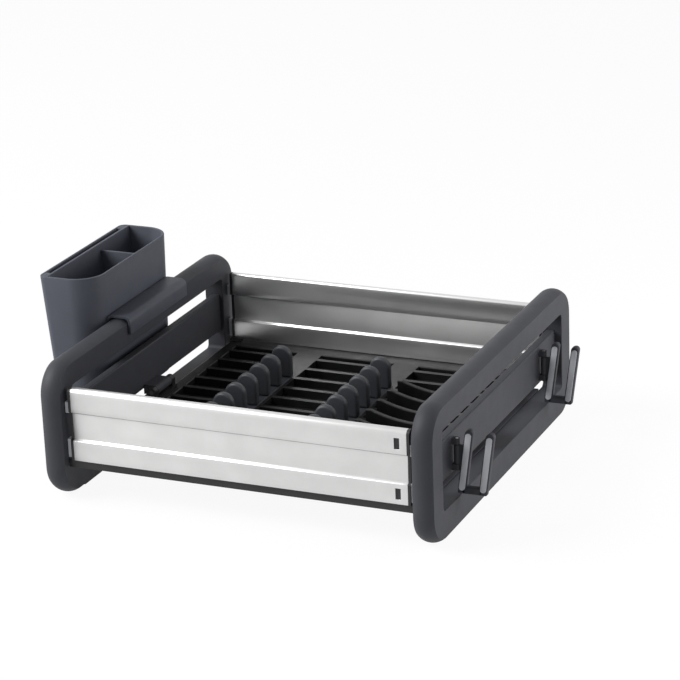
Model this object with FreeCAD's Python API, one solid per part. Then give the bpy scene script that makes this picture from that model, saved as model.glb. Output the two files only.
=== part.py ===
import FreeCAD, Part
import math
import os

# Foldable dish rack. Millimetres, +Z up, origin on the counter under the middle of the floor.
# X runs along the aluminium walls, Y runs from the front (-) to the back (+).

V = FreeCAD.Vector
X_AXIS, Y_AXIS, Z_AXIS = V(1, 0, 0), V(0, 1, 0), V(0, 0, 1)

# Driving dimensions of the whole rack
inner_half_length = 164.0      # middle to the inner face of an end frame
frame_thickness = 19.0         # end frame, along X
frame_half_depth = 174.0       # middle to the upright crease of an end frame, along Y
frame_low = 4.5                # lower crease of an end frame above the counter
frame_high = 121.9             # upper crease
tray_low = 30.0
running_gap = 0.5              # between a swinging piece and what it passes
pivot_clearance = 0.05         # radial, between a pin and the hole it turns in
pin_end_gap = 0.2              # end of a wall's pin behind the end of the wall
merge = 1.0                    # how far joined solids run into each other
beyond = 400.0                 # longer than the rack, for cutting blocks

# End frames
post_width = 22.0              # crease to window
top_bar_height = 20.1
bottom_bar_height = 24.5
frame_crown = 3.7              # rise of the rounded edge over its two creases
crown_grip = 3.0               # how far the crown's sweep reaches into the flat ring
frame_corner_radius = 26.0
window_corner_radius = 4.0
window_edge_radius = 0.8

# End panels, set back in the frames' windows
panel_thickness = 8.0
panel_recess = 7.0             # outer face of the panel behind the outer face of the frame
panel_above_sill = 19.0
panel_height = 37.0
panel_edge_radius = 1.5
panel_tenon = 2.5              # length of panel held in each post
tenon_fit = 0.1

# Aluminium walls
wall_thickness = 8.0
wall_set_back = 6.0            # outer face of a wall behind the creases of the end frames
wall_height = 67.0
wall_rest_gap = 0.7            # wall above the tray's rail
wall_lower_band = 20.0
wall_top_band = 22.0
web_recess = 2.2               # web behind the bands, on both faces
skin = 1.4                     # aluminium skin of the hollow bands
wall_top_radius = 4.5
wall_top_inner_radius = 2.5
band_chamfer = 1.6
plug_flange = 2.5
plug_fit = 0.15
plug_tongue_length = 26.0
barb_window_length = 4.8
barb_window_height = 10.0
barb_window_from_end = 11.4    # end of the wall's plug to the middle of the window
barb_sunk = 0.6                # barb behind the wall's outer face
barb_root = 0.2                # barb's overlap with its tongue
wall_axis_inward = 4.0         # fold axis in front of the wall's inner face
wall_axis_below = 2.0          # fold axis under the wall
wall_pin_radius = 2.0
wall_pin_length = 10.5
wall_knuckle_radius = 3.6
wall_arm_reach = 4.0           # how far the knuckle's arm runs into the plug

# Glide pads between the walls' plugs and the end frames
glide_length = 3.5
glide_thickness = 5.5
glide_low_from, glide_low_height = 2.4, 17.0       # above the wall's underside
glide_high_from, glide_high_height = 44.0, 10.0

# Floor tray
tray_height = 9.0
tray_end_gap = 7.0             # end of the tray to the end frame
tray_plate_thickness = 1.8
tray_rim_width = 11.0
rim_inside_axis = 6.0          # outside of the rim in front of a wall's fold axis
rib_width = 5.0
rib_edge_radius = 1.2
drain_slot_width = 3.0
drain_slot_margin = 10.0       # end of a slot from the beam or rim beside it

# Rails along the sides of the tray, under the walls
rail_set_in = 1.5              # rail behind the wall's outer face
rail_step = 1.7                # top of the rail under the top of the ribs
rail_rise = 1.0                # underside of the rail over the underside of the tray
skirt_thickness = 2.0
skirt_gap = 0.4                # end of the skirt to the end frame

# Bowl cradle on the ribs at the right end
cradle_from = 50.0
cradle_end_margin = 7.0        # cradle to the end of the tray
cradle_rise = 10.0             # crest of an arched rib above the flat ribs
cradle_web = 1.5               # least height of an arched rib
cradle_flat = 4.0              # crest length at each end of an arched rib
cradle_edge_radius = 1.0

# Pegs
peg_pitch = 25.3
pegs_each_side = 3             # pegs before and behind the middle one
peg_rows_x = (-67.4, 32.5)
peg_width = 20.0
peg_thickness = 7.0
peg_height = 30.6              # above the ribs
peg_edge_radius = 2.6
peg_shoulder = 0.3             # a peg's widest part starts this far above the ribs
peg_base_width = 18.0
peg_base_height = 6.0
peg_base_margin = 5.0          # base beyond the outermost peg
peg_base_fit = 0.2
peg_beam_wall = 3.5

# Hinge of each end frame, in the middle of the end
frame_axis_over_tray = 8.0
frame_pin_radius = 2.0
frame_knuckle_radius = 4.5
frame_knuckle_length = 27.0
frame_ear_length = 6.0
frame_knuckle_gap = 0.4
bracket_reach = 6.5            # base of the bracket, inward from the end of the tray

# Ledges on the end frames that carry the ends of the tray
ledge_overlap = 5.0            # under the tray
ledge_height = 8.0
ledge_margin = 12.0            # end of the ledge from the window's side

# Foot pads under the end frames
foot_length = 44.0
foot_width = 11.0
foot_seat = 2.0                # top of a pad above the lowest line of the crown
foot_from_crease = 62.0

# Glass hooks, on the right end panel
hook_from_window_side = 41.0
hook_axis_out = 4.0            # pin in front of the panel's outer face
hook_thickness = 6.0
hook_pin_radius = 1.3
hook_lug_radius = 2.6
hook_lug_height = 5.5
hook_lug_above_panel_low = 3.0
hook_knuckle_height = 17.0
hook_knuckle_gap = 0.4
hook_leg_width = 7.6
hook_leg_spacing = 19.0
hook_leg_reach = 6.7           # pin to the middle of the inner leg, level with the lower lug
hook_lean = 0.14               # outward travel per unit of height
hook_above_sill = 1.5
hook_bridge_height = 6.5
hook_inner_over_panel = 4.0    # top of the inner leg above the panel
hook_outer_over_panel = 2.5
hook_edge_radius = 1.4
strip_width = 5.4
strip_proud = 0.4
strip_margin = 3.0             # end of the strip from the end of its leg

# Utensil caddy
caddy_gap = 0.8                # caddy to the outer face of the end frame
caddy_width = 56.0
caddy_front = -68.0
caddy_back = 95.0
caddy_over_frame = 46.1        # rim above the frame's upper crease
caddy_height = 133.0
caddy_outer_radius = 7.0
caddy_inner_radius = 26.0
caddy_taper_outer = 9.0        # narrower at the bottom, outer side
caddy_taper_end = 5.0          # narrower at the bottom, each end
caddy_wall = 2.4
knife_slot_width = 4.8
knife_wall = 2.6
knife_land = 10.0              # closed length at each end of the knife slot
divider_y = 34.0
divider_drop = 6.0             # divider below the rim
caddy_floor_ledge = 3.0
caddy_grate_thickness = 2.5
caddy_grate_fit = 0.25
grate_hole_radius = 3.0
grate_hole_pitch = 11.0
saddle_margin = 24.0           # saddle shorter than the caddy, at each end
saddle_thickness = 3.2
saddle_gap = 0.3
saddle_inner_radius = 3.0
saddle_lip = 10.0              # how far the lip hangs under the frame's upper crease

frame_inner_x = inner_half_length
frame_outer_x = inner_half_length + frame_thickness
frame_middle_x = inner_half_length + frame_thickness / 2
crown_low = frame_low - frame_crown
crown_high = frame_high + frame_crown
window_half_depth = frame_half_depth - post_width
window_low = frame_low + bottom_bar_height
window_high = frame_high - top_bar_height
panel_outer_x = frame_outer_x - panel_recess
panel_inner_x = panel_outer_x - panel_thickness
panel_half_depth = window_half_depth + panel_tenon
panel_low = window_low + panel_above_sill
panel_high = panel_low + panel_height
tray_high = tray_low + tray_height
tray_half_length = inner_half_length - tray_end_gap
rail_low = tray_low + rail_rise
rail_high = tray_high - rail_step
wall_face = frame_half_depth - wall_set_back
wall_inner_face = wall_face - wall_thickness
wall_low = rail_high + wall_rest_gap
wall_high = wall_low + wall_height
wall_end_x = inner_half_length - glide_length - running_gap
wall_cut_x = wall_end_x - plug_flange
wall_fold_axis_y = wall_inner_face - wall_axis_inward
wall_fold_axis_z = wall_low - wall_axis_below
wall_pin_start = wall_end_x - pin_end_gap - wall_pin_length
tray_rim_half_depth = wall_fold_axis_y - rim_inside_axis
rail_half_depth = wall_face - rail_set_in
cradle_to = tray_half_length - cradle_end_margin
last_peg_y = pegs_each_side * peg_pitch
peg_base_half = last_peg_y + peg_thickness / 2 + peg_base_margin
peg_top = tray_high + peg_height
frame_axis_x = tray_half_length
frame_axis_z = tray_high + frame_axis_over_tray
hook_offset_y = window_half_depth - hook_from_window_side
hook_axis_x = panel_outer_x + hook_axis_out
hook_low = window_low + hook_above_sill
hook_lug_low = panel_low + hook_lug_above_panel_low
hook_upper_lug = hook_lug_low + hook_lug_height + hook_knuckle_height + 2 * hook_knuckle_gap
hook_inner_top = panel_high + hook_inner_over_panel
hook_outer_top = panel_high + hook_outer_over_panel
caddy_high = frame_high + caddy_over_frame
caddy_low = caddy_high - caddy_height
caddy_inner_x = -(frame_outer_x + caddy_gap)
caddy_rim_x = caddy_inner_x - caddy_width


def box(x0, x1, y0, y1, z0, z1):
    """Box between two corners."""
    return Part.makeBox(x1 - x0, y1 - y0, z1 - z0, V(x0, y0, z0))


def cylinder(radius, start, axis, length):
    """Cylinder from a start point along an axis."""
    return Part.makeCylinder(radius, length, start, axis)


def rounded_outline(u0, u1, v0, v1, radii, place):
    """Closed wire of a rectangle with a radius at each corner, from low-low anticlockwise."""
    r_ll, r_hl, r_hh, r_lh = radii
    k = 1.0 - math.sqrt(0.5)
    corners = [
        ((u0, v0 + r_ll), (u0 + k * r_ll, v0 + k * r_ll), (u0 + r_ll, v0)),
        ((u1 - r_hl, v0), (u1 - k * r_hl, v0 + k * r_hl), (u1, v0 + r_hl)),
        ((u1, v1 - r_hh), (u1 - k * r_hh, v1 - k * r_hh), (u1 - r_hh, v1)),
        ((u0 + r_lh, v1), (u0 + k * r_lh, v1 - k * r_lh), (u0, v1 - r_lh)),
    ]
    edges = []
    for i, (start, middle, end) in enumerate(corners):
        edges.append(Part.Arc(place(*start), place(*middle), place(*end)).toShape())
        following = corners[(i + 1) % 4][0]
        edges.append(Part.makeLine(place(*end), place(*following)))
    return Part.Wire(edges)


def polygon_prism(points, direction):
    """Straight-sided outline swept along a direction."""
    return Part.Face(Part.makePolygon(points + [points[0]])).extrude(direction)


def fillet_where(solid, radius, test):
    """Round the edges whose bounding box passes the test."""
    edges = [edge for edge in solid.Edges if test(edge.BoundBox)]
    return solid.makeFillet(radius, edges)


def same(a, b):
    """Whether two coordinates are the same place."""
    return abs(a - b) < 1e-4


def end_place(side):
    """Placement of a right-hand piece at the right end (+1) or turned round to the left end (-1)."""
    if side > 0:
        return FreeCAD.Placement()
    return FreeCAD.Placement(V(0, 0, 0), FreeCAD.Rotation(Z_AXIS, 180))


def placed(solid, placement):
    """Copy of a solid moved by a placement, with the move written into its geometry."""
    return solid.transformed(placement.toMatrix())


def save(name, shapes):
    """Write the solids of one piece to its STEP file."""
    solids = []
    for shape in shapes if isinstance(shapes, (list, tuple)) else [shapes]:
        solids.extend(shape.Solids)
    for solid in solids:
        if not solid.isValid():
            print("invalid solid in", name)
    shape = solids[0] if len(solids) == 1 else Part.Compound(solids)
    shape.exportStep("parts/" + name + ".step")
    print(name, len(solids), "solid(s)", round(shape.Volume), "mm3")


def make_crown(outline):
    """Convex edge swept round the frame's outline, between its two creases."""
    y, z = -frame_half_depth, frame_low + frame_corner_radius
    near, far = V(frame_inner_x, y, z), V(frame_outer_x, y, z)
    grip = V(0, crown_grip, 0)
    profile = Part.Wire([
        Part.makeLine(near + grip, near),
        Part.Arc(near, V(frame_middle_x, y - frame_crown, z), far).toShape(),
        Part.makeLine(far, far + grip),
        Part.makeLine(far + grip, near + grip),
    ])
    return outline.makePipeShell([profile], True, False)


def foot_blocks():
    """Space of the two foot pads of the right-hand end frame."""
    blocks = []
    for side in (-1, 1):
        middle = side * (frame_half_depth - foot_from_crease)
        blocks.append(box(frame_middle_x - foot_width / 2, frame_middle_x + foot_width / 2,
                          middle - foot_length / 2, middle + foot_length / 2,
                          0, crown_low + foot_seat))
    return blocks


def make_end_frame():
    """Right-hand end frame: a crowned upright ring with a ledge for the tray and slots for the panel."""
    def place(y, z):
        return V(frame_inner_x, y, z)
    outline = rounded_outline(-frame_half_depth, frame_half_depth, frame_low, frame_high,
                              [frame_corner_radius] * 4, place)
    ring = Part.Face(outline).extrude(V(frame_thickness, 0, 0))
    ring = ring.fuse(make_crown(outline)).removeSplitter()
    hole = Part.Face(rounded_outline(-window_half_depth, window_half_depth, window_low, window_high,
                                     [window_corner_radius] * 4, place))
    ring = ring.cut(hole.extrude(V(frame_thickness, 0, 0)))
    ring = fillet_where(ring, window_edge_radius,
                        lambda b: same(b.XMin, b.XMax) and b.YMin > -window_half_depth - 1e-3
                        and b.YMax < window_half_depth + 1e-3
                        and b.ZMin > window_low - 1e-3 and b.ZMax < window_high + 1e-3)
    ring = ring.cut(box(panel_inner_x - tenon_fit, panel_outer_x + tenon_fit,
                        -panel_half_depth - tenon_fit, panel_half_depth + tenon_fit,
                        panel_low - tenon_fit, panel_high + tenon_fit))
    half = window_half_depth - ledge_margin
    start = tray_half_length - ledge_overlap
    root_top = window_low - window_edge_radius
    ring = ring.fuse(box(start, frame_inner_x, -half, half, tray_low - ledge_height, tray_low))
    ring = ring.fuse(box(frame_inner_x - merge, frame_inner_x + merge, -half, half,
                         tray_low - ledge_height, root_top))
    for block in foot_blocks():
        ring = ring.cut(block)
    return ring.removeSplitter()


def make_end_panel(with_lugs):
    """Right-hand end panel with its hinge knuckle and, where wanted, the lugs of the glass hooks."""
    panel = box(panel_inner_x, panel_outer_x, -panel_half_depth, panel_half_depth, panel_low, panel_high)
    panel = fillet_where(panel, panel_edge_radius, lambda b: b.YMax - b.YMin > panel_half_depth)
    half = frame_knuckle_length / 2
    web_low = frame_axis_z - frame_knuckle_radius
    web = box(frame_axis_x, panel_inner_x + panel_edge_radius, -half, half,
              web_low, frame_axis_z + frame_knuckle_radius)
    web = web.cut(box(panel_inner_x, panel_inner_x + panel_edge_radius, -half, half,
                      web_low, panel_low + panel_edge_radius))
    knuckle = cylinder(frame_knuckle_radius, V(frame_axis_x, -half, frame_axis_z), Y_AXIS, 2 * half)
    panel = panel.fuse(web).fuse(knuckle)
    panel = panel.cut(cylinder(frame_pin_radius + pivot_clearance, V(frame_axis_x, -half, frame_axis_z),
                               Y_AXIS, 2 * half))
    if with_lugs:
        for side in (-1, 1):
            for low in (hook_lug_low, hook_upper_lug):
                y = side * hook_offset_y
                lug = cylinder(hook_lug_radius, V(hook_axis_x, y, low), Z_AXIS, hook_lug_height)
                root = box(panel_outer_x - panel_edge_radius, hook_axis_x, y - hook_lug_radius,
                           y + hook_lug_radius, low, low + hook_lug_height)
                panel = panel.fuse(lug).fuse(root)
                panel = panel.cut(cylinder(hook_pin_radius, V(hook_axis_x, y, low), Z_AXIS,
                                           hook_lug_height))
    return panel.removeSplitter()


def ear_span():
    """Near and far side of a hinge ear from the middle of the rack."""
    near = frame_knuckle_length / 2 + frame_knuckle_gap
    return near, near + frame_ear_length


def make_hinge_bracket():
    """Right-hand hinge bracket: two ears on a base that lies on the tray's rim."""
    near, far = ear_span()
    base_top = frame_axis_z - frame_knuckle_radius - running_gap
    bracket = box(tray_half_length - bracket_reach, tray_half_length, -far, far, tray_high, base_top)
    for y0, y1 in ((-far, -near), (near, far)):
        foot = box(frame_axis_x - frame_knuckle_radius, frame_axis_x, y0, y1, tray_high, frame_axis_z)
        eye = cylinder(frame_knuckle_radius, V(frame_axis_x, y0, frame_axis_z), Y_AXIS, y1 - y0)
        bracket = bracket.fuse(foot).fuse(eye)
    hole = cylinder(frame_pin_radius, V(frame_axis_x, -far, frame_axis_z), Y_AXIS, 2 * far)
    return bracket.cut(hole).removeSplitter()


def make_frame_pin():
    """Pin on which the right-hand end frame folds, held in the ears of the bracket."""
    far = ear_span()[1]
    return cylinder(frame_pin_radius, V(frame_axis_x, -far, frame_axis_z), Y_AXIS, 2 * far)


def wall_section(x):
    """Outline of the back wall's extrusion, in the plane at x."""
    web_low = wall_low + wall_lower_band
    web_high = wall_high - wall_top_band
    inner, outer = wall_inner_face, wall_face
    web_inner, web_outer = inner + web_recess, outer - web_recess
    k = 1.0 - math.sqrt(0.5)
    r_out, r_in = wall_top_radius, wall_top_inner_radius
    c = band_chamfer

    def p(y, z):
        return V(x, y, z)
    edges = []

    def line(a, b):
        edges.append(Part.makeLine(p(*a), p(*b)))
    line((inner, wall_low), (outer, wall_low))
    line((outer, wall_low), (outer, web_low - c))
    line((outer, web_low - c), (web_outer, web_low))
    line((web_outer, web_low), (web_outer, web_high))
    line((web_outer, web_high), (outer, web_high))
    line((outer, web_high), (outer, wall_high - r_out))
    edges.append(Part.Arc(p(outer, wall_high - r_out), p(outer - k * r_out, wall_high - k * r_out),
                          p(outer - r_out, wall_high)).toShape())
    line((outer - r_out, wall_high), (inner + r_in, wall_high))
    edges.append(Part.Arc(p(inner + r_in, wall_high), p(inner + k * r_in, wall_high - k * r_in),
                          p(inner, wall_high - r_in)).toShape())
    line((inner, wall_high - r_in), (inner, web_high))
    line((inner, web_high), (web_inner, web_high))
    line((web_inner, web_high), (web_inner, web_low))
    line((web_inner, web_low), (inner, web_low - c))
    line((inner, web_low - c), (inner, wall_low))
    return Part.Wire(edges)


def band_cavity(low, high, shrink):
    """Rectangle of a band's hollow, drawn in by shrink: y0, y1, z0, z1."""
    return (wall_inner_face + skin + shrink, wall_face - skin - shrink,
            low + skin + shrink, high - skin - shrink)


def band_cavities(shrink):
    """Hollows of the lower and the top band."""
    lower = band_cavity(wall_low, wall_low + wall_lower_band - band_chamfer, shrink)
    top_low = wall_high - wall_top_band
    top = band_cavity(top_low, wall_high - (wall_top_radius - skin), shrink)
    return lower, top


def barb_boxes(outward, sink, fit):
    """Barb windows of the back wall near its right end, through the outer or the inner skin."""
    boxes = []
    middle = wall_end_x - barb_window_from_end
    for y0, y1, z0, z1 in band_cavities(0.0):
        centre = (z0 + z1) / 2
        if outward:
            ys = (y1 - barb_root, wall_face - sink)
        else:
            ys = (wall_inner_face + sink, y0 + barb_root)
        boxes.append(box(middle - barb_window_length / 2 + fit, middle + barb_window_length / 2 - fit,
                         ys[0], ys[1], centre - barb_window_height / 2 + fit,
                         centre + barb_window_height / 2 - fit))
    return boxes


def make_back_wall():
    """Back wall: a hollow aluminium extrusion with barb windows at both ends."""
    wall = Part.Face(wall_section(-wall_cut_x)).extrude(V(2 * wall_cut_x, 0, 0))
    for y0, y1, z0, z1 in band_cavities(0.0):
        wall = wall.cut(box(-wall_cut_x, wall_cut_x, y0, y1, z0, z1))
    turn = end_place(-1)
    shift = FreeCAD.Placement(V(0, wall_face + wall_inner_face, 0), FreeCAD.Rotation())
    for window in barb_boxes(False, 0.0, 0.0):
        wall = wall.cut(window).cut(placed(placed(window, turn), shift))
    return wall


def make_plug(outward):
    """End plug of the back wall's right end, with its flange, two tongues, barbs and hinge knuckle."""
    plug = Part.Face(wall_section(wall_cut_x)).extrude(V(plug_flange, 0, 0))
    for y0, y1, z0, z1 in band_cavities(plug_fit):
        plug = plug.fuse(box(wall_cut_x - plug_tongue_length, wall_cut_x, y0, y1, z0, z1))
    for barb in barb_boxes(outward, barb_sunk, plug_fit):
        plug = plug.fuse(barb)
    axis_point = V(wall_cut_x, wall_fold_axis_y, wall_fold_axis_z)
    angle = math.atan2(wall_axis_below, wall_axis_inward)
    across = V(0, -math.sin(angle), math.cos(angle)) * wall_knuckle_radius
    arm_end = wall_inner_face + wall_arm_reach
    arm = polygon_prism([axis_point - across, axis_point + across,
                         V(wall_cut_x, arm_end, wall_low + wall_arm_reach),
                         V(wall_cut_x, arm_end, wall_low)], V(plug_flange, 0, 0))
    plug = plug.fuse(cylinder(wall_knuckle_radius, axis_point, X_AXIS, plug_flange)).fuse(arm)
    hole = cylinder(wall_pin_radius + pivot_clearance, axis_point, X_AXIS, plug_flange)
    return plug.cut(hole).removeSplitter()


def make_glides():
    """Soft glide pads of the back wall, two on each end plug, against the end frames."""
    middle = (wall_face + wall_inner_face) / 2
    glides = []
    for start, height in ((glide_low_from, glide_low_height), (glide_high_from, glide_high_height)):
        right = box(wall_end_x, wall_end_x + glide_length, middle - glide_thickness / 2,
                    middle + glide_thickness / 2, wall_low + start, wall_low + start + height)
        glides.extend([right, right.mirror(V(0, 0, 0), X_AXIS)])
    return glides


def make_wall_pins():
    """Pins at both ends of the back wall's fold axis, held in the tray."""
    start = V(wall_pin_start, wall_fold_axis_y, wall_fold_axis_z)
    right = cylinder(wall_pin_radius, start, X_AXIS, wall_pin_length)
    return [right, right.mirror(V(0, 0, 0), X_AXIS)]


def rib_places():
    """Middle of every floor rib, from front to back."""
    count = int((tray_rim_half_depth - tray_rim_width) / peg_pitch)
    return [i * peg_pitch for i in range(-count, count + 1)]


def drain_bays():
    """Start and end of the drain slots along X: left of, between and right of the peg beams."""
    half = peg_base_width / 2 + peg_beam_wall
    rim_x = tray_half_length - tray_rim_width
    left, right = peg_rows_x
    bays = ((-rim_x, left - half), (left + half, right - half), (right + half, rim_x))
    return [(start + drain_slot_margin, end - drain_slot_margin) for start, end in bays]


def make_floor_tray():
    """Floor of the rack: a shallow pan with rim, ribs, peg beams and the knuckles of the walls."""
    tray = box(-tray_half_length, tray_half_length, -tray_rim_half_depth, tray_rim_half_depth,
               tray_low, tray_high)
    rim_x = tray_half_length - tray_rim_width
    rim_y = tray_rim_half_depth - tray_rim_width
    floor_top = tray_low + tray_plate_thickness
    tray = tray.cut(box(-rim_x, rim_x, -rim_y, rim_y, floor_top, tray_high))
    tray = fillet_where(tray, rib_edge_radius, lambda b: same(b.ZMin, tray_high))
    solids = []
    for y in rib_places():
        solids.append(box(-rim_x - merge, rim_x + merge, y - rib_width / 2, y + rib_width / 2,
                          floor_top - merge, tray_high))
    for x in peg_rows_x:
        half = peg_base_width / 2 + peg_beam_wall
        solids.append(box(x - half, x + half, -rim_y - merge, rim_y + merge,
                          floor_top - merge, tray_high))
    for side_x in (-1, 1):
        for side_y in (-1, 1):
            x0, x1 = sorted((side_x * wall_pin_start, side_x * tray_half_length))
            y0, y1 = sorted((side_y * (tray_rim_half_depth - 2 * merge), side_y * wall_fold_axis_y))
            solids.append(box(x0, x1, y0, y1, rail_low, wall_fold_axis_z + wall_knuckle_radius))
            solids.append(cylinder(wall_knuckle_radius, V(x0, side_y * wall_fold_axis_y, wall_fold_axis_z),
                                   X_AXIS, x1 - x0))
    tray = tray.multiFuse(solids)
    for x in peg_rows_x:
        half = peg_base_width / 2 + peg_base_fit
        reach = peg_base_half + peg_base_fit
        tray = tray.cut(box(x - half, x + half, -reach, reach, tray_high - peg_base_height, tray_high))
    for side_y in (-1, 1):
        for start in (-tray_half_length, wall_pin_start):
            tray = tray.cut(cylinder(wall_pin_radius, V(start, side_y * wall_fold_axis_y, wall_fold_axis_z),
                                     X_AXIS, tray_half_length - wall_pin_start))
    for y in rib_places():
        behind = y + rib_width / 2
        for start, end in drain_bays():
            tray = tray.cut(box(start, end, behind, behind + drain_slot_width, tray_low, floor_top))
    return tray.removeSplitter()


def make_side_rail():
    """Rail along the back of the tray, between its knuckles, with a skirt that reaches the end frames."""
    half = wall_pin_start - running_gap
    rail = box(-half, half, tray_rim_half_depth, rail_half_depth, rail_low, rail_high)
    reach = inner_half_length - skirt_gap
    skirt = box(-reach, reach, rail_half_depth - skirt_thickness, rail_half_depth, rail_low, rail_high)
    return rail.fuse(skirt).removeSplitter()


def make_cradle_rib(y):
    """Rib that lies on a floor rib, with a top that sinks in a wide arc between two crests."""
    crest = tray_high + cradle_rise
    low_from, low_to = cradle_from + cradle_flat, cradle_to - cradle_flat
    middle = (low_from + low_to) / 2

    def p(x, z):
        return V(x, y - rib_width / 2, z)
    edges = [
        Part.makeLine(p(cradle_from, tray_high), p(cradle_to, tray_high)),
        Part.makeLine(p(cradle_to, tray_high), p(cradle_to, crest)),
        Part.makeLine(p(cradle_to, crest), p(low_to, crest)),
        Part.Arc(p(low_to, crest), p(middle, tray_high + cradle_web), p(low_from, crest)).toShape(),
        Part.makeLine(p(low_from, crest), p(cradle_from, crest)),
        Part.makeLine(p(cradle_from, crest), p(cradle_from, tray_high)),
    ]
    rib = Part.Face(Part.Wire(edges)).extrude(V(0, rib_width, 0))
    return fillet_where(rib, cradle_edge_radius, lambda b: b.ZMax > tray_high + cradle_web
                        and same(b.YMin, b.YMax) and b.XMax - b.XMin > cradle_flat / 2)


def make_bowl_cradle():
    """Cradle for bowls: arched ribs, each lying on a rib of the tray."""
    return [make_cradle_rib(y) for y in rib_places() if abs(y) < last_peg_y + merge]


def make_peg_row(x):
    """Row of pegs standing on one moulded base."""
    row = box(x - peg_base_width / 2, x + peg_base_width / 2, -peg_base_half, peg_base_half,
              tray_high - peg_base_height, tray_high)
    radius = peg_width / 2
    foot = tray_high + peg_shoulder
    for i in range(-pegs_each_side, pegs_each_side + 1):
        y = i * peg_pitch - peg_thickness / 2

        def p(dx, z):
            return V(x + dx, y, z)
        outline = Part.Wire([
            Part.makeLine(p(-radius, foot), p(radius, foot)),
            Part.makeLine(p(radius, foot), p(radius, peg_top - radius)),
            Part.Arc(p(radius, peg_top - radius), p(0, peg_top), p(-radius, peg_top - radius)).toShape(),
            Part.makeLine(p(-radius, peg_top - radius), p(-radius, foot)),
        ])
        peg = Part.Face(outline).extrude(V(0, peg_thickness, 0))
        peg = fillet_where(peg, peg_edge_radius, lambda b: same(b.YMin, b.YMax) and b.ZMax > foot + merge)
        neck = box(x - peg_base_width / 2, x + peg_base_width / 2, y + peg_edge_radius,
                   y + peg_thickness - peg_edge_radius, tray_high - merge, foot + merge)
        row = row.fuse(peg).fuse(neck)
    return row.removeSplitter()


def leg_x(z, spacing=0.0):
    """Middle of a hook leg at a height."""
    return hook_axis_x + hook_leg_reach + spacing + hook_lean * (z - hook_lug_low)


def make_leg(y, width, thickness, low, high, spacing):
    """Leaning leg with a round top, centred on y."""
    half = width / 2

    def p(x, z):
        return V(x, y - thickness / 2, z)
    top = high - half
    outline = Part.Wire([
        Part.makeLine(p(leg_x(low, spacing) - half, low), p(leg_x(low, spacing) + half, low)),
        Part.makeLine(p(leg_x(low, spacing) + half, low), p(leg_x(top, spacing) + half, top)),
        Part.Arc(p(leg_x(top, spacing) + half, top), p(leg_x(high, spacing), high),
                 p(leg_x(top, spacing) - half, top)).toShape(),
        Part.makeLine(p(leg_x(top, spacing) - half, top), p(leg_x(low, spacing) - half, low)),
    ])
    return Part.Face(outline).extrude(V(0, thickness, 0))


def make_strips(y):
    """Soft strips let into the two legs of a hook."""
    strips = []
    thickness = hook_thickness + 2 * strip_proud
    for spacing, high in ((0.0, hook_inner_top), (hook_leg_spacing, hook_outer_top)):
        strip = make_leg(y, strip_width, thickness, hook_low + strip_margin, high - strip_margin, spacing)
        strips.append(fillet_where(strip, strip_proud, lambda b: same(b.YMin, b.YMax)))
    return strips


def make_hook(y):
    """Glass hook, swung out: two leaning legs joined at the bottom, and a knuckle on its pin."""
    inner = make_leg(y, hook_leg_width, hook_thickness, hook_low, hook_inner_top, 0.0)
    outer = make_leg(y, hook_leg_width, hook_thickness, hook_low, hook_outer_top, hook_leg_spacing)
    bridge = box(leg_x(hook_low), leg_x(hook_low) + hook_leg_spacing, y - hook_thickness / 2,
                 y + hook_thickness / 2, hook_low, hook_low + hook_bridge_height)
    hook = inner.fuse(outer).fuse(bridge).removeSplitter()
    hook = fillet_where(hook, hook_edge_radius, lambda b: same(b.YMin, b.YMax))
    low = hook_lug_low + hook_lug_height + hook_knuckle_gap
    knuckle = cylinder(hook_thickness / 2, V(hook_axis_x, y, low), Z_AXIS, hook_knuckle_height)
    web = box(hook_axis_x, leg_x(low), y - hook_thickness / 2 + hook_edge_radius,
              y + hook_thickness / 2 - hook_edge_radius, low, low + hook_knuckle_height)
    hook = hook.fuse(knuckle).fuse(web)
    hook = hook.cut(cylinder(hook_pin_radius + pivot_clearance, V(hook_axis_x, y, low), Z_AXIS,
                             hook_knuckle_height))
    for strip in make_strips(y):
        hook = hook.cut(strip)
    return hook.removeSplitter()


def make_hook_pin(y):
    """Pin of a glass hook, held in both lugs of the panel."""
    length = hook_upper_lug + hook_lug_height - hook_lug_low
    return cylinder(hook_pin_radius, V(hook_axis_x, y, hook_lug_low), Z_AXIS, length)


def caddy_outline(z, shrink):
    """Caddy's outline at a height, drawn in by shrink."""
    t = (caddy_high - z) / caddy_height
    x0 = caddy_rim_x + caddy_taper_outer * t + shrink
    y0 = caddy_front + caddy_taper_end * t + shrink
    y1 = caddy_back - caddy_taper_end * t - shrink
    outer = caddy_outer_radius - shrink
    inner = caddy_inner_radius - shrink
    return rounded_outline(x0, caddy_inner_x - shrink, y0, y1, [outer, inner, inner, outer],
                           lambda x, y: V(x, y, z))


def caddy_loft(low, high, shrink):
    """Solid between the caddy's drawn-in outlines at two heights."""
    return Part.makeLoft([caddy_outline(low, shrink), caddy_outline(high, shrink)], True, True)


def saddle_block(grow, low):
    """Block over the top bar of the left end frame, grown on the sides and the top."""
    high = crown_high + saddle_gap + grow
    block = box(-frame_outer_x - saddle_gap - grow, -frame_inner_x + saddle_gap + grow,
                caddy_front + saddle_margin, caddy_back - saddle_margin, low, high)
    return fillet_where(block, saddle_inner_radius + grow,
                        lambda b: same(b.ZMin, high) and same(b.XMin, b.XMax))


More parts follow.
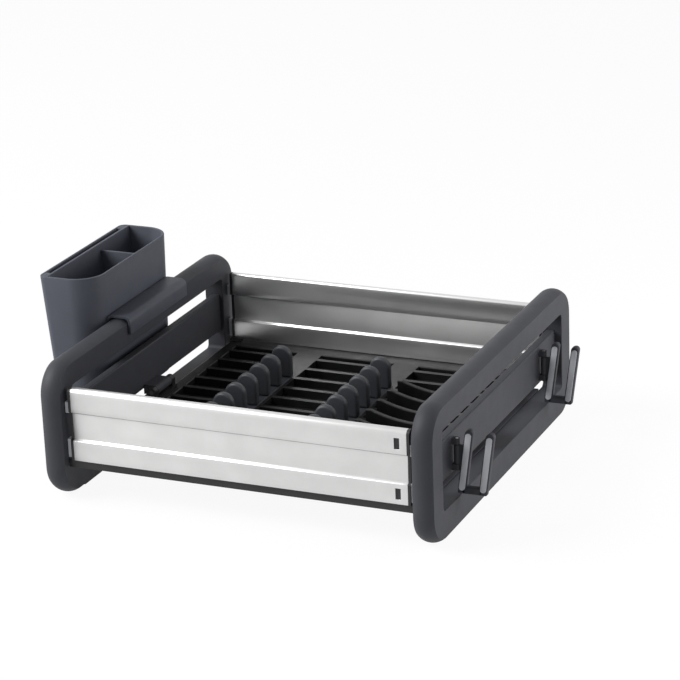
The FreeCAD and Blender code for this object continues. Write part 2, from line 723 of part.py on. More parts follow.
def make_caddy():
    """Utensil caddy: tapered shell with a knife slot, a divider and the saddle that hangs it."""
    floor = caddy_low + caddy_wall + caddy_grate_thickness + caddy_grate_fit
    inside = caddy_loft(caddy_low, caddy_high, caddy_wall)
    inside = inside.common(box(-beyond, 0, caddy_front, caddy_back, caddy_low + caddy_wall, caddy_high))
    shell = caddy_loft(caddy_low, caddy_high, 0.0)
    shell = shell.cut(inside).cut(caddy_loft(caddy_low, caddy_high, caddy_wall + caddy_floor_ledge))
    knife_x = caddy_rim_x + caddy_wall + knife_slot_width
    low_x = knife_x + caddy_taper_outer * (caddy_high - floor) / caddy_height
    length = V(0, caddy_back - caddy_front, 0)
    knife = polygon_prism([V(knife_x, caddy_front, caddy_high),
                           V(knife_x + knife_wall, caddy_front, caddy_high),
                           V(low_x + knife_wall, caddy_front, floor), V(low_x, caddy_front, floor)], length)
    slot_space = polygon_prism([V(-beyond, caddy_front, caddy_high), V(knife_x, caddy_front, caddy_high),
                                V(low_x, caddy_front, floor), V(-beyond, caddy_front, floor)], length)
    land = caddy_wall + knife_land
    lands = slot_space.cut(box(-beyond, 0, caddy_front + land, caddy_back - land, caddy_low, caddy_high))
    divider = box(caddy_rim_x, caddy_inner_x, divider_y - caddy_wall / 2, divider_y + caddy_wall / 2,
                  floor, caddy_high - divider_drop).cut(slot_space)
    fittings = knife.fuse(lands).fuse(divider)
    caddy = shell.fuse(fittings.common(inside))
    saddle_low = frame_high - saddle_lip
    saddle = saddle_block(saddle_thickness, saddle_low).cut(saddle_block(0.0, saddle_low))
    caddy = caddy.fuse(saddle)
    return caddy.cut(inside.cut(fittings)).removeSplitter()


def make_caddy_grate():
    """Perforated floor that lies loose on the ledge in the caddy."""
    low = caddy_low + caddy_wall
    grate = caddy_loft(low, low + caddy_grate_thickness, caddy_wall + caddy_grate_fit)
    middle_x = caddy_inner_x - caddy_width / 2 + caddy_taper_outer / 2
    middle_y = (caddy_front + caddy_back) / 2
    across = 3
    along = int((caddy_back - caddy_front - 4 * grate_hole_pitch) / grate_hole_pitch / 2)
    for i in range(-(across // 2), across // 2 + 1):
        for j in range(-along, along + 1):
            hole = V(middle_x + i * grate_hole_pitch, middle_y + j * grate_hole_pitch, low)
            grate = grate.cut(cylinder(grate_hole_radius, hole, Z_AXIS, caddy_grate_thickness))
    return grate


os.makedirs("parts", exist_ok=True)

save("floor_tray", make_floor_tray())
save("bowl_cradle", make_bowl_cradle())

end_frame = make_end_frame()
bracket = make_hinge_bracket()
frame_pin = make_frame_pin()
for name, place in (("right", end_place(1)), ("left", end_place(-1))):
    save("end_frame_" + name, placed(end_frame, place))
    save("foot_pads_" + name, [placed(pad, place) for pad in foot_blocks()])
    save("hinge_bracket_" + name, placed(bracket, place))
    save("end_frame_pin_" + name, placed(frame_pin, place))
save("end_panel_right", make_end_panel(True))
save("end_panel_left", placed(make_end_panel(False), end_place(-1)))

wall = make_back_wall()
plug_with_inner_barbs = make_plug(False)
plug_with_outer_barbs = make_plug(True).mirror(V(0, 0, 0), X_AXIS)
wall_pins = make_wall_pins()
glides = make_glides()
side_rail = make_side_rail()
for name, place, inner_end, outer_end in (("back", end_place(1), "right", "left"),
                                          ("front", end_place(-1), "left", "right")):
    save("side_rail_" + name, placed(side_rail, place))
    save(name + "_wall", placed(wall, place))
    save(name + "_wall_plug_" + inner_end, placed(plug_with_inner_barbs, place))
    save(name + "_wall_plug_" + outer_end, placed(plug_with_outer_barbs, place))
    save(name + "_wall_pins", [placed(pin, place) for pin in wall_pins])
    save(name + "_wall_glides", [placed(glide, place) for glide in glides])

for name, x in zip(("left", "right"), peg_rows_x):
    save("peg_row_" + name, make_peg_row(x))

for name, y in (("front", -hook_offset_y), ("rear", hook_offset_y)):
    save("glass_hook_" + name, make_hook(y))
    save("glass_hook_strips_" + name, make_strips(y))
    save("glass_hook_pin_" + name, make_hook_pin(y))

save("utensil_caddy", make_caddy())
save("caddy_grate", make_caddy_grate())
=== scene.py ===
import math

import bmesh
import bpy
from mathutils import Euler, Matrix, Vector


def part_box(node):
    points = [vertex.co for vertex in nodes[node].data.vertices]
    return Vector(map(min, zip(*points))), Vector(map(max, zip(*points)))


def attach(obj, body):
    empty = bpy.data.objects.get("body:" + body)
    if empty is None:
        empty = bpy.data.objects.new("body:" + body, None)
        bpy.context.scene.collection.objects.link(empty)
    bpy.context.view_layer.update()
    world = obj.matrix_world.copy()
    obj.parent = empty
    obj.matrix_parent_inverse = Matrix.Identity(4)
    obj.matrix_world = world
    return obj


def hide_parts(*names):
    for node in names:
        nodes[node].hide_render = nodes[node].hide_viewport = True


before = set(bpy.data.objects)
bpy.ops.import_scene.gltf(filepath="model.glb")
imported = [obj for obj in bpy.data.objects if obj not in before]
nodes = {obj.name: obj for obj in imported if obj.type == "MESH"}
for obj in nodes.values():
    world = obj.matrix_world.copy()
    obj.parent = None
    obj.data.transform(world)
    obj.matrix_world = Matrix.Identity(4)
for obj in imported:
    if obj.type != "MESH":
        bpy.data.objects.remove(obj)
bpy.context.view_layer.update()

# Foldable dish rack, dressed. Metres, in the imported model's own frame: X runs along the
# aluminium walls, Y from the front to the back, and the counter is at Z = 0.
bpy.context.scene.view_settings.view_transform = "Standard"


# The view: a long lens, a little above the rack and to the right of its front wall.
# The camera has no shift and no blur, so other views of the rack keep its look.
camera_place = (0.9508, -2.0735, 0.9344)
camera_azimuth = math.radians(24.026)       # round from the front
camera_elevation = math.radians(19.914)     # above level
camera_roll = math.radians(-2.260)          # the camera's own tilt
camera_data = bpy.data.cameras.new("camera")
camera_data.lens = 142.98
camera_data.sensor_width = 36.0
camera_data.clip_end = 20.0
camera = bpy.data.objects.new("camera", camera_data)
bpy.context.collection.objects.link(camera)
turn = Euler((math.pi / 2 - camera_elevation, 0, camera_azimuth)).to_matrix().to_4x4()
camera.matrix_world = (Matrix.Translation(camera_place) @ turn
                       @ Matrix.Rotation(camera_roll, 4, "Z"))
bpy.context.scene.camera = camera


# The studio: a white floor and white surroundings, a large soft lamp high on the left and a
# weaker one on the right. The floor keeps the rack's shadow.
ambient_strength = 0.26
floor_size = 8.0
floor_grey = 0.92
floor_glow = 0.93              # share of plain white that the floor shows


def finish_backdrop(tree, output_kind, lighting, seen, share):
    """Light the rack with one shader, and show a share of another to rays that look at it.

    Camera, mirror and glass rays look at a backdrop. All others only gather its light.
    """
    path = tree.nodes.new("ShaderNodeLightPath")
    looks = path.outputs["Is Camera Ray"]
    for kind in ("Is Glossy Ray", "Is Transmission Ray"):
        either = tree.nodes.new("ShaderNodeMath")
        either.operation = "MAXIMUM"
        tree.links.new(looks, either.inputs[0])
        tree.links.new(path.outputs[kind], either.inputs[1])
        looks = either.outputs[0]
    part = tree.nodes.new("ShaderNodeMath")
    part.operation = "MULTIPLY"
    part.inputs[1].default_value = share
    mix = tree.nodes.new("ShaderNodeMixShader")
    output = tree.nodes.new(output_kind)
    tree.links.new(looks, part.inputs[0])
    tree.links.new(part.outputs[0], mix.inputs[0])
    tree.links.new(lighting.outputs[0], mix.inputs[1])
    tree.links.new(seen.outputs[0], mix.inputs[2])
    tree.links.new(mix.outputs[0], output.inputs[0])


def soft_lamp(name, place, target, size, power):
    """A square area lamp that points at a target."""
    data = bpy.data.lights.new(name, "AREA")
    data.size = size
    data.energy = power
    lamp = bpy.data.objects.new(name, data)
    bpy.context.collection.objects.link(lamp)
    direction = Vector(target) - Vector(place)
    lamp.matrix_world = (Matrix.Translation(place)
                         @ direction.to_track_quat("-Z", "Y").to_matrix().to_4x4())


world = bpy.data.worlds.new("studio")
bpy.context.scene.world = world
world.use_nodes = True
tree = world.node_tree
tree.nodes.clear()
ambient = tree.nodes.new("ShaderNodeBackground")
ambient.inputs["Color"].default_value = (0.96, 0.98, 1.0, 1)
ambient.inputs["Strength"].default_value = ambient_strength
white = tree.nodes.new("ShaderNodeBackground")
white.inputs["Color"].default_value = (1, 1, 1, 1)
finish_backdrop(tree, "ShaderNodeOutputWorld", lighting=ambient, seen=white, share=1.0)

bpy.ops.object.select_all(action="DESELECT")
bpy.ops.mesh.primitive_plane_add(size=floor_size, location=(0, 0, 0))
floor = bpy.context.object
floor.name = "studio_floor"
floor_paint = bpy.data.materials.new("studio_floor")
floor_paint.use_nodes = True
tree = floor_paint.node_tree
tree.nodes.clear()
matt = tree.nodes.new("ShaderNodeBsdfDiffuse")
matt.inputs["Color"].default_value = (floor_grey, floor_grey, floor_grey, 1)
glow = tree.nodes.new("ShaderNodeEmission")
glow.inputs["Color"].default_value = (1, 1, 1, 1)
finish_backdrop(tree, "ShaderNodeOutputMaterial", lighting=matt, seen=glow, share=floor_glow)
floor.data.materials.append(floor_paint)

soft_lamp("left_lamp", place=(-1.9, -1.0, 1.7), target=(0, 0, 0.05), size=1.6, power=98)
soft_lamp("right_lamp", place=(0.85, 0.3, 0.35), target=(0.18, 0, 0.06), size=0.5, power=5)


# The end frames and the panels in their windows: thick mouldings in a grey plastic with a
# soft-touch skin. The floor, the walls, the hooks and the caddy all hang on them.
tone_scale = 40.0              # cycles of a finish's noise per metre
gloss_scale = 90.0


def pattern(tree, scale, detail=2.0, stretch=(1, 1, 1)):
    """Noise on the object's own coordinates, in cycles per metre, stretched per axis."""
    place = tree.nodes.new("ShaderNodeTexCoord")
    mapping = tree.nodes.new("ShaderNodeMapping")
    mapping.inputs["Scale"].default_value = stretch
    noise = tree.nodes.new("ShaderNodeTexNoise")
    noise.inputs["Scale"].default_value = scale
    noise.inputs["Detail"].default_value = detail
    tree.links.new(place.outputs["Object"], mapping.inputs["Vector"])
    tree.links.new(mapping.outputs["Vector"], noise.inputs["Vector"])
    return noise.outputs["Fac"]


def spread(tree, value, low, high):
    """Noise, which mostly lies from 0.3 to 0.7, spread between two numbers."""
    reach = tree.nodes.new("ShaderNodeMapRange")
    reach.inputs["From Min"].default_value = 0.3
    reach.inputs["From Max"].default_value = 0.7
    reach.inputs["To Min"].default_value = low
    reach.inputs["To Max"].default_value = high
    tree.links.new(value, reach.inputs["Value"])
    return reach.outputs["Result"]


def two_tone(tree, value, dark, light):
    """Colour that wanders between two tones with the noise."""
    ramp = tree.nodes.new("ShaderNodeValToRGB")
    ramp.color_ramp.elements[0].position = 0.35
    ramp.color_ramp.elements[1].position = 0.65
    ramp.color_ramp.elements[0].color = (*dark, 1)
    ramp.color_ramp.elements[1].color = (*light, 1)
    tree.links.new(value, ramp.inputs["Fac"])
    return ramp.outputs["Color"]


def relief(tree, value, depth):
    """Bump from a height pattern, depth in metres."""
    bump = tree.nodes.new("ShaderNodeBump")
    bump.inputs["Strength"].default_value = 1.0
    bump.inputs["Distance"].default_value = depth
    tree.links.new(value, bump.inputs["Height"])
    return bump.outputs["Normal"]


def finish_named(name, dark, light, rough, metallic=0.0, specular=0.5, grain=1500.0,
                 grain_depth=0.00003, stretch=(1, 1, 1)):
    """Material of one surface finish: two close tones, wandering gloss and a fine relief."""
    material = bpy.data.materials.new(name)
    material.use_nodes = True
    tree = material.node_tree
    shader = tree.nodes["Principled BSDF"]
    shader.inputs["Metallic"].default_value = metallic
    shader.inputs["Specular IOR Level"].default_value = specular
    tone = two_tone(tree, pattern(tree, tone_scale, detail=3.0), dark, light)
    tree.links.new(tone, shader.inputs["Base Color"])
    gloss = spread(tree, pattern(tree, gloss_scale, detail=4.0, stretch=stretch), *rough)
    tree.links.new(gloss, shader.inputs["Roughness"])
    grains = pattern(tree, grain, stretch=stretch)
    tree.links.new(relief(tree, grains, grain_depth), shader.inputs["Normal"])
    return material


def dress(material, *names):
    """Give CAD nodes their finish."""
    for name in names:
        mesh = nodes[name].data
        mesh.materials.clear()
        mesh.materials.append(material)


soft_touch = finish_named("soft_touch_grey", dark=(0.042, 0.043, 0.050),
                          light=(0.045, 0.046, 0.053), rough=(0.52, 0.57), specular=0.16,
                          grain_depth=0.000015)
dress(soft_touch, "end_frame_left", "end_frame_right", "end_panel_left", "end_panel_right")


# The pins that the walls, the end frames and the hooks turn on, held in the floor, the hinge
# brackets and the lugs of the right end panel: ground steel, coloured near black in the
# brackets.
ground_steel = finish_named("ground_steel", dark=(0.55, 0.55, 0.56), light=(0.62, 0.62, 0.63),
                            rough=(0.22, 0.34), metallic=1.0)
dress(ground_steel, "front_wall_pins", "back_wall_pins", "glass_hook_pin_front",
      "glass_hook_pin_rear")
# The end frames' pins in the hinge brackets are coloured near black.
near_black_steel = finish_named("near_black_steel", dark=(0.05, 0.05, 0.052),
                               light=(0.07, 0.07, 0.072), rough=(0.35, 0.5), metallic=1.0)
dress(near_black_steel, "end_frame_pin_left", "end_frame_pin_right")


# The floor tray, the ribs of the bowl cradle on it and the hinge brackets on its rim:
# glass-filled black plastic with a fine spark-eroded grain.
tray_black = finish_named("tray_black", dark=(0.006, 0.006, 0.0065),
                          light=(0.009, 0.009, 0.0095), rough=(0.34, 0.46), specular=0.28)
dress(tray_black, "floor_tray", "bowl_cradle", "hinge_bracket_left", "hinge_bracket_right")


# The foot pads: dense black rubber, two strips under each end frame, glued into pockets.
# Each has soft edges and three grooves across its sole.
foot_rubber = finish_named("foot_rubber", dark=(0.012, 0.012, 0.013),
                           light=(0.018, 0.018, 0.019), rough=(0.7, 0.85))
near = 0.0001                  # two places closer than this are the same
sharp_angle = math.radians(40)
groove_width = 0.0016
groove_depth = 0.0007
groove_shares = (0.25, 0.5, 0.75)      # of a strip's length
pad_edge = 0.0004


def at(value, place, reach=near):
    """Whether a coordinate is at a place, or within some reach of it."""
    return abs(value - place) < reach


def start_block(name, low, high):
    """Block between two corners, as a new object at the origin with all else deselected."""
    bpy.ops.object.select_all(action="DESELECT")
    bpy.ops.mesh.primitive_cube_add(size=1.0, location=(Vector(low) + Vector(high)) / 2)
    block = bpy.context.object
    block.name = name
    block.scale = Vector(high) - Vector(low)
    bpy.ops.object.transform_apply(location=True, rotation=True, scale=True)
    return block


def pick(piece, kind, test):
    """Select the verts, edges or faces of a piece in edit mode whose middle passes a test."""
    modes = {"verts": "VERT", "edges": "EDGE", "faces": "FACE"}
    bpy.ops.mesh.select_mode(type=modes[kind])
    bpy.ops.mesh.select_all(action="DESELECT")
    mesh = bmesh.from_edit_mesh(piece.data)
    for item in getattr(mesh, kind):
        points = [item.co] if kind == "verts" else [vert.co for vert in item.verts]
        item.select = test(sum(points, Vector()) / len(points))
    mesh.select_flush_mode()
    bmesh.update_edit_mesh(piece.data)


def slice_across(axis, place):
    """Cut the selected faces of the piece in edit mode along a plane across X, Y or Z."""
    normal = Vector([float(letter == axis) for letter in "XYZ"])
    bpy.ops.mesh.bisect(plane_co=place * normal, plane_no=normal)


def push_out(step):
    """Extrude the selected faces by a step."""
    bpy.ops.mesh.extrude_region_move(TRANSFORM_OT_translate={"value": step})


def round_off(piece, width, segments=3):
    """Round every sharp edge a little and shade the piece smooth."""
    bpy.ops.object.select_all(action="DESELECT")
    piece.select_set(True)
    bpy.context.view_layer.objects.active = piece
    rounding = piece.modifiers.new("rounding", "BEVEL")
    rounding.width = width
    rounding.segments = segments
    rounding.limit_method = "ANGLE"
    rounding.angle_limit = sharp_angle
    bpy.ops.object.modifier_apply(modifier="rounding")
    bpy.ops.object.shade_smooth_by_angle(angle=sharp_angle)


def join_up(pieces, name):
    """Make one object of several, under one name."""
    bpy.ops.object.select_all(action="DESELECT")
    for piece in pieces:
        piece.select_set(True)
    bpy.context.view_layer.objects.active = pieces[0]
    bpy.ops.object.join()
    pieces[0].name = name
    return pieces[0]


def stand_for(piece, node, body, material):
    """Let a piece take a CAD node's place on its body, in a finish."""
    piece.data.materials.clear()
    piece.data.materials.append(material)
    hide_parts(node)
    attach(piece, body)


for side in ("left", "right"):
    node = "foot_pads_" + side
    low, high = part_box(node)
    ends = sorted({round(vertex.co.y, 5) for vertex in nodes[node].data.vertices})
    pads = []
    for start, end in (ends[:2], ends[-2:]):
        pad = start_block("pad", (low.x, start, low.z), (high.x, end, high.z))
        bpy.ops.object.mode_set(mode="EDIT")
        for share in groove_shares:
            groove_y = start + share * (end - start)
            for edge_y in (groove_y - groove_width / 2, groove_y + groove_width / 2):
                bpy.ops.mesh.select_all(action="SELECT")
                slice_across("Y", edge_y)
            pick(pad, "faces", lambda p: at(p.y, groove_y, groove_width / 4) and at(p.z, low.z))
            push_out((0, 0, groove_depth))
        bpy.ops.object.mode_set(mode="OBJECT")
        round_off(pad, pad_edge, segments=2)
        pads.append(pad)
    stand_for(join_up(pads, node + "_ribbed"), node, "rack", foot_rubber)


# The peg rows: seven domed tongues on one base each, moulded in matt dark grey plastic and
# pressed into a pocket of the tray. All edges of the tongues are well rounded.
peg_grey = finish_named("peg_grey", dark=(0.034, 0.036, 0.042), light=(0.038, 0.040, 0.046),
                        rough=(0.44, 0.52), specular=0.35)
peg_count = 7
peg_thickness = 0.007
peg_edge = 0.0026
peg_foot = 0.0063              # foot of a tongue above the underside of the base
dome_share = 0.999             # of half the width, so that the two rounds never overlap
base_edge = 0.0006
base_margin = 0.005            # base beyond the outermost tongue
base_side = 0.001              # base narrower than a tongue, each side


def pick_sharp(piece):
    """Select the sharp edges of a piece in edit mode."""
    bpy.ops.mesh.select_mode(type="EDGE")
    bpy.ops.mesh.select_all(action="DESELECT")
    mesh = bmesh.from_edit_mesh(piece.data)
    for edge in mesh.edges:
        edge.select = len(edge.link_faces) == 2 and edge.calc_face_angle(0.0) > sharp_angle
    mesh.select_flush_mode()
    bmesh.update_edit_mesh(piece.data)


def copy_moved(piece, change):
    """Copy of a piece, with a move or a turn written into its mesh."""
    copy = piece.copy()
    copy.data = piece.data.copy()
    copy.data.transform(change)
    bpy.context.collection.objects.link(copy)
    return copy


for side in ("left", "right"):
    node = "peg_row_" + side
    low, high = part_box(node)
    half_width = (high.x - low.x) / 2
    foot = low.z + peg_foot
    first = low.y + base_margin
    pitch = (high.y - low.y - 2 * base_margin - peg_thickness) / (peg_count - 1)
    tongue = start_block("tongue", (low.x, first, foot), (high.x, first + peg_thickness, high.z))
    bpy.ops.object.mode_set(mode="EDIT")
    pick(tongue, "edges", lambda p: at(p.z, high.z) and at(p.y, first + peg_thickness / 2))
    bpy.ops.mesh.bevel(offset=half_width * dome_share, segments=14, affect="EDGES")
    bpy.ops.mesh.select_all(action="SELECT")
    bpy.ops.mesh.remove_doubles(threshold=near)
    pick_sharp(tongue)
    bpy.ops.mesh.bevel(offset=peg_edge, segments=5, affect="EDGES")
    bpy.ops.object.mode_set(mode="OBJECT")
    bpy.ops.object.shade_smooth_by_angle(angle=sharp_angle)
    base = start_block("base", (low.x + base_side, low.y, low.z),
                       (high.x - base_side, high.y, foot))
    round_off(base, base_edge)
    parts = [base, tongue]
    for i in range(1, peg_count):
        parts.append(copy_moved(tongue, Matrix.Translation((0, i * pitch, 0))))
    stand_for(join_up(parts, node + "_moulded"), node, "rack", peg_grey)


# The aluminium walls: two satin anodised extrusions with a thin web between two hollow bands.
# Near its ends each wall has punched windows for the barbs of its plastic end plugs, and a
# fine undercut runs along the web under the top band.
aluminium = finish_named("anodised_aluminium", dark=(0.64, 0.64, 0.635),
                         light=(0.68, 0.68, 0.675), rough=(0.33, 0.39), metallic=0.9,
                         grain=700.0, grain_depth=0.00001, stretch=(0.03, 1, 1))
band_low = 0.020
band_top = 0.022
band_slope = 0.0016
web_step = 0.0022              # web behind the bands, on both faces
undercut_height = 0.0012
undercut_depth = 0.0010
top_radius_outer = 0.0045
top_radius_inner = 0.0025
skin = 0.0014
window_length = 0.0048
window_height = 0.010
window_from_wall_end = 0.0089
wall_edge = 0.0003

low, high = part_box("back_wall")
web_low, web_high = low.z + band_low, high.z - band_top
web_inner, web_outer = low.y + web_step, high.y - web_step
bpy.ops.object.select_all(action="DESELECT")
bpy.ops.mesh.primitive_plane_add(
    size=1.0, location=(low.x, (low.y + high.y) / 2, (low.z + high.z) / 2),
    rotation=(0, math.pi / 2, 0))
wall = bpy.context.object
wall.scale = (high.z - low.z, high.y - low.y, 1)
bpy.ops.object.transform_apply(location=True, rotation=True, scale=True)
bpy.ops.object.mode_set(mode="EDIT")
cuts = [("Z", web_low - band_slope), ("Z", web_low),
        ("Z", web_high - undercut_height), ("Z", web_high),
        ("Y", web_inner), ("Y", web_inner + undercut_depth),
        ("Y", web_outer - undercut_depth), ("Y", web_outer)]
for axis, place in cuts:
    bpy.ops.mesh.select_all(action="SELECT")
    slice_across(axis, place)
pick(wall, "faces", lambda p: web_low < p.z < web_high and not web_inner < p.y < web_outer)
bpy.ops.mesh.delete(type="FACE")
pick(wall, "faces", lambda p: web_high - undercut_height < p.z < web_high
     and not web_inner + undercut_depth < p.y < web_outer - undercut_depth)
bpy.ops.mesh.delete(type="FACE")
for edge_y, step in ((low.y, web_step), (high.y, -web_step)):
    pick(wall, "verts", lambda p: at(p.z, web_low) and at(p.y, edge_y))
    bpy.ops.transform.translate(value=(0, step, 0))
bpy.ops.mesh.select_all(action="SELECT")
bpy.ops.mesh.remove_doubles(threshold=near / 5)
push_out((high.x - low.x, 0, 0))
bpy.ops.mesh.select_all(action="SELECT")
bpy.ops.mesh.normals_make_consistent(inside=False)
bpy.ops.mesh.dissolve_limited(angle_limit=math.radians(2))
for edge_y, radius in ((high.y, top_radius_outer), (low.y, top_radius_inner)):
    pick(wall, "edges", lambda p: at(p.y, edge_y) and at(p.z, high.z) and at(p.x, 0))
    bpy.ops.mesh.bevel(offset=radius, segments=6, affect="EDGES")

window_heights = (low.z + (band_low - band_slope) / 2,
                  high.z - (band_top - skin + top_radius_outer) / 2)
for end, face_y in ((1, low.y), (-1, high.y)):
    window_x = end * (high.x - window_from_wall_end)
    for window_z in window_heights:
        sides = [("X", window_x - window_length / 2), ("X", window_x + window_length / 2),
                 ("Z", window_z - window_height / 2), ("Z", window_z + window_height / 2)]
        for axis, place in sides:
            pick(wall, "faces",
                 lambda p: at(p.y, face_y, near / 2) and at(p.z, window_z, window_height))
            slice_across(axis, place)
        pick(wall, "faces", lambda p: at(p.y, face_y, near / 2)
             and at(p.x, window_x, window_length / 4) and at(p.z, window_z, window_height / 4))
        push_out((0, end * skin, 0))
bpy.ops.object.mode_set(mode="OBJECT")
round_off(wall, wall_edge, segments=2)

front = copy_moved(wall, Matrix.Rotation(math.pi, 4, "Z"))
for piece, name in ((wall, "back_wall"), (front, "front_wall")):
    piece.name = name + "_extrusion"
    stand_for(piece, name, name + "_leaf", aluminium)


# The walls' end plugs, pressed into the bands, and the rails under the walls: black plastic.
# The glide pads on the plugs are a soft light grey elastomer that slides on the end frames.
plug_black = finish_named("plug_black", dark=(0.014, 0.014, 0.015),
                          light=(0.018, 0.018, 0.019), rough=(0.35, 0.5), specular=0.4)
dress(plug_black, "front_wall_plug_left", "front_wall_plug_right", "back_wall_plug_left",
      "back_wall_plug_right", "side_rail_front", "side_rail_back")
soft_light = finish_named("soft_light", dark=(0.46, 0.47, 0.50), light=(0.52, 0.53, 0.56),
                          rough=(0.6, 0.75))
dress(soft_light, "front_wall_glides", "back_wall_glides")


# The hooks on the right end frame: two leaning legs joined at the foot, moulded in the frames'
# grey plastic, with a knuckle that turns on a pin. A soft light strip is let into each leg
# against slipping.
leg_width = 0.0076
leg_thickness = 0.006
leg_spacing = 0.019
leg_reach = 0.0067             # pin to the middle of the inner leg, level with the pin's foot
leg_lean = 0.14                # outward travel per unit of height
leg_edge = 0.0013
round_share = 0.499            # of a leg's width, so that the two rounds never overlap
tops_over_panel = (0.004, 0.0025)
bridge_height = 0.0065
knuckle_over_pin = 0.0059      # foot of the knuckle above the foot of the pin
knuckle_height = 0.017
knuckle_edge = 0.0004
web_thickness = 0.0032
strip_width = 0.0054
strip_proud = 0.0004
strip_edge = 0.00038
strip_margin = 0.003           # end of a strip from the end of its leg


def leaning_leg(name, foot, top, width, thickness, edge, round_foot=False):
    """Upright bar that leans outward from its foot, with a round top and rounded edges."""
    x, y, low = foot
    leg = start_block(name, (x - width / 2, y - thickness / 2, low),
                      (x + width / 2, y + thickness / 2, top))
    bpy.ops.object.mode_set(mode="EDIT")
    for end in (low, top) if round_foot else (top,):
        pick(leg, "edges", lambda p: at(p.z, end) and at(p.y, y))
        bpy.ops.mesh.bevel(offset=width * round_share, segments=10, affect="EDGES")
    bpy.ops.mesh.select_all(action="SELECT")
    bpy.ops.mesh.remove_doubles(threshold=near / 2)
    bpy.ops.object.mode_set(mode="OBJECT")
    round_off(leg, edge)
    lean = Matrix.Identity(4)
    lean[0][2] = leg_lean
    lean[0][3] = -leg_lean * low
    leg.data.transform(lean)
    return leg


panel_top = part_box("end_panel_right")[1].z
for end in ("front", "rear"):
    pin_low, pin_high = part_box("glass_hook_pin_" + end)
    axis_x, y = (pin_low.x + pin_high.x) / 2, (pin_low.y + pin_high.y) / 2
    hook_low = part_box("glass_hook_" + end)[0].z
    foot_x = axis_x + leg_reach + leg_lean * (hook_low - pin_low.z)
    parts = []
    strips = []
    for shift, over_panel in zip((0.0, leg_spacing), tops_over_panel):
        leg_top = panel_top + over_panel
        parts.append(leaning_leg("leg", (foot_x + shift, y, hook_low), leg_top, leg_width,
                                 leg_thickness, leg_edge))
        strip_x = foot_x + shift + leg_lean * strip_margin
        strips.append(leaning_leg("strip", (strip_x, y, hook_low + strip_margin),
                                  leg_top - strip_margin, strip_width,
                                  leg_thickness + 2 * strip_proud, strip_edge, round_foot=True))
    bridge = start_block("bridge", (foot_x, y - leg_thickness / 2, hook_low),
                         (foot_x + leg_spacing, y + leg_thickness / 2, hook_low + bridge_height))
    round_off(bridge, leg_edge)
    knuckle_low = pin_low.z + knuckle_over_pin
    bpy.ops.object.select_all(action="DESELECT")
    bpy.ops.mesh.primitive_cylinder_add(vertices=40, radius=leg_thickness / 2,
                                        depth=knuckle_height,
                                        location=(axis_x, y, knuckle_low + knuckle_height / 2))
    knuckle = bpy.context.object
    bpy.ops.object.transform_apply(location=True, rotation=True, scale=True)
    round_off(knuckle, knuckle_edge, segments=2)
    web = start_block("web", (axis_x, y - web_thickness / 2, knuckle_low),
                      (foot_x + leg_lean * (knuckle_low - hook_low), y + web_thickness / 2,
                       knuckle_low + knuckle_height))
    round_off(web, knuckle_edge, segments=2)
    parts += [bridge, knuckle, web]
    body = end + "_hook"
    stand_for(join_up(parts, "glass_hook_" + end + "_moulded"), "glass_hook_" + end, body,
              soft_touch)
    strip_node = "glass_hook_strips_" + end
    stand_for(join_up(strips, strip_node + "_soft"), strip_node, body, soft_light)


# The caddy: a tapered bin moulded in dark blue-grey plastic, with a narrow slot along its
# outer side, a divider, and a saddle that hangs over the left end frame.
caddy_grey = finish_named("caddy_grey", dark=(0.070, 0.075, 0.093), light=(0.075, 0.080, 0.099),
                          rough=(0.46, 0.54), specular=0.16)
caddy_gap = 0.0008             # bin to the outer face of the end frame
caddy_wall = 0.0024
caddy_edge = 0.0008
outer_radius = 0.007
inner_radius = 0.026
taper_outer = 0.009            # narrower at the bottom, outer side
taper_end = 0.005              # narrower at the bottom, each end
outer_zone = 0.012             # the outer side, with its corners and the slot's inner wall
floor_zone = 0.012             # the middle of the floor, where its opening is
ledge_width = 0.003            # ledge that carries the grate
knife_gap = 0.0048
knife_wall = 0.0026
land_length = 0.010            # closed length at each end of the slot
land_drop = 0.0002             # lands below the rim
divider_y = 0.034
divider_drop = 0.006
grate_gap = 0.00005            # fittings above the grate
fitting_edge = 0.0006
embed = 0.0005                 # how far joined pieces run into each other
saddle_margin = 0.024          # saddle shorter than the bin, at each end
saddle_gap = 0.0003            # saddle to the end frame's top
saddle_thickness = 0.00285
saddle_inset = 0.00035         # lip's inner face behind the end of the CAD's box
saddle_radius = 0.0062
saddle_edge = 0.0005
lip_low = 0.1119               # lower edge of the saddle's lip

ring_low, ring_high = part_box("end_frame_left")
grate_low, grate_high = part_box("caddy_grate")
caddy_low, caddy_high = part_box("utensil_caddy")
rim_x, inner_x = caddy_low.x, ring_low.x - caddy_gap
front_y, back_y = caddy_low.y, caddy_high.y
foot_z, rim_z = caddy_low.z, caddy_high.z
middle_x, middle_y = (rim_x + inner_x) / 2, (front_y + back_y) / 2
ledge_z = grate_low.z
fittings_z = grate_high.z + grate_gap


def lean_in(piece, low):
    """Draw the lower verts of a caddy piece in, as its taper does at their height."""
    share = (rim_z - low) / (rim_z - foot_z)
    end_zone = inner_radius + 2 * near
    sides = ((lambda p: p.x < rim_x + outer_zone, (taper_outer * share, 0, 0)),
             (lambda p: p.y < front_y + end_zone, (0, taper_end * share, 0)),
             (lambda p: p.y > back_y - end_zone, (0, -taper_end * share, 0)))
    for test, step in sides:
        pick(piece, "verts", lambda p: at(p.z, low) and test(p))
        bpy.ops.transform.translate(value=step)


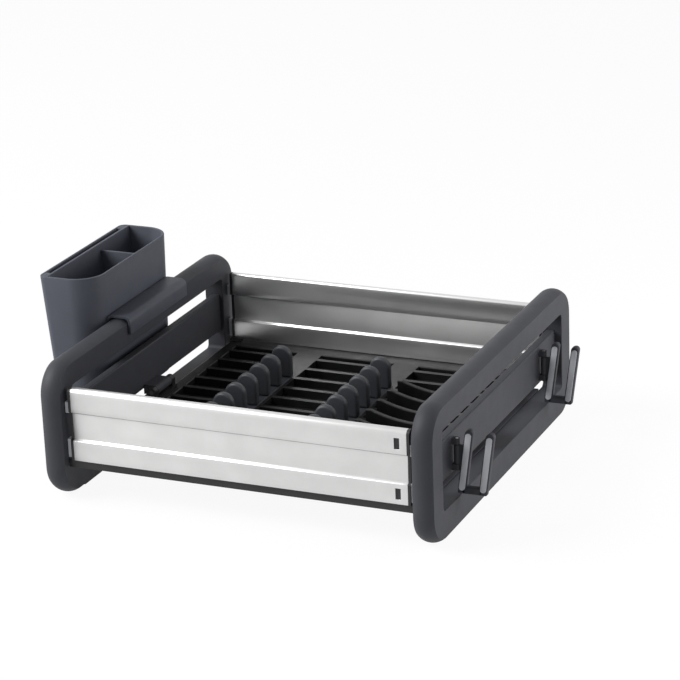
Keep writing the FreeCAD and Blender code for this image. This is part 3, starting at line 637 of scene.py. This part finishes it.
shell = start_block("shell", (rim_x, front_y, foot_z), (inner_x, back_y, rim_z))
bpy.ops.object.mode_set(mode="EDIT")
for side_x, radius, segments in ((rim_x, outer_radius, 8), (inner_x, inner_radius, 16)):
    pick(shell, "edges", lambda p: at(p.x, side_x) and at(p.z, (foot_z + rim_z) / 2)
         and (at(p.y, front_y) or at(p.y, back_y)))
    bpy.ops.mesh.bevel(offset=radius, segments=segments, affect="EDGES")
pick(shell, "faces", lambda p: at(p.z, rim_z))
bpy.ops.mesh.inset(thickness=caddy_wall)
push_out((0, 0, ledge_z - rim_z))
bpy.ops.mesh.inset(thickness=ledge_width)
pick(shell, "faces", lambda p: at(p.z, foot_z))
bpy.ops.mesh.inset(thickness=caddy_wall + ledge_width)
lean_in(shell, foot_z)
lean_in(shell, ledge_z)
pick(shell, "faces", lambda p: p.z < ledge_z + near and at(p.x, middle_x, floor_zone)
     and at(p.y, middle_y, floor_zone))
bpy.ops.mesh.bridge_edge_loops()
bpy.ops.object.mode_set(mode="OBJECT")
round_off(shell, caddy_edge)
parts = [shell]

slot_x = rim_x + caddy_wall
knife_x = slot_x + knife_gap
inside_front, inside_back = front_y + caddy_wall, back_y - caddy_wall
fittings = (
    ("knife_wall",
     (knife_x, inside_front - embed, fittings_z),
     (knife_x + knife_wall, inside_back + embed, rim_z)),
    ("front_land",
     (slot_x - embed, inside_front - embed, fittings_z),
     (knife_x + embed, inside_front + land_length, rim_z - land_drop)),
    ("back_land",
     (slot_x - embed, inside_back - land_length, fittings_z),
     (knife_x + embed, inside_back + embed, rim_z - land_drop)),
    ("divider",
     (knife_x + knife_wall - embed, divider_y - caddy_wall / 2, fittings_z),
     (inner_x - caddy_wall + embed, divider_y + caddy_wall / 2, rim_z - divider_drop)),
)
for name, low, high in fittings:
    fitting = start_block(name, low, high)
    bpy.ops.object.mode_set(mode="EDIT")
    lean_in(fitting, fittings_z)
    bpy.ops.object.mode_set(mode="OBJECT")
    round_off(fitting, fitting_edge)
    parts.append(fitting)

saddle_front, saddle_back = front_y + saddle_margin, back_y - saddle_margin
saddle_top = ring_high.z + saddle_gap + saddle_thickness
saddle = start_block("saddle",
                     (ring_low.x - saddle_gap - saddle_thickness, saddle_front, lip_low),
                     (caddy_high.x - saddle_inset, saddle_back, saddle_top))
bpy.ops.object.mode_set(mode="EDIT")
pick(saddle, "edges", lambda p: at(p.z, saddle_top) and at(p.y, middle_y))
bpy.ops.mesh.bevel(offset=saddle_radius, segments=8, affect="EDGES")
pick(saddle, "faces",
     lambda p: at(p.z, lip_low) or at(p.y, saddle_front) or at(p.y, saddle_back))
bpy.ops.mesh.delete(type="FACE")
bpy.ops.object.mode_set(mode="OBJECT")
thicken = saddle.modifiers.new("thickness", "SOLIDIFY")
thicken.thickness = saddle_thickness
thicken.offset = -1.0
bpy.ops.object.modifier_apply(modifier="thickness")
round_off(saddle, saddle_edge, segments=2)
parts.append(saddle)
stand_for(join_up(parts, "utensil_caddy_moulded"), "utensil_caddy", "caddy", caddy_grey)


# The caddy's grate: a loose perforated plate in the same plastic, which lies on the ledge in
# the caddy's bottom and is lifted out for cleaning.
dress(caddy_grey, "caddy_grate")
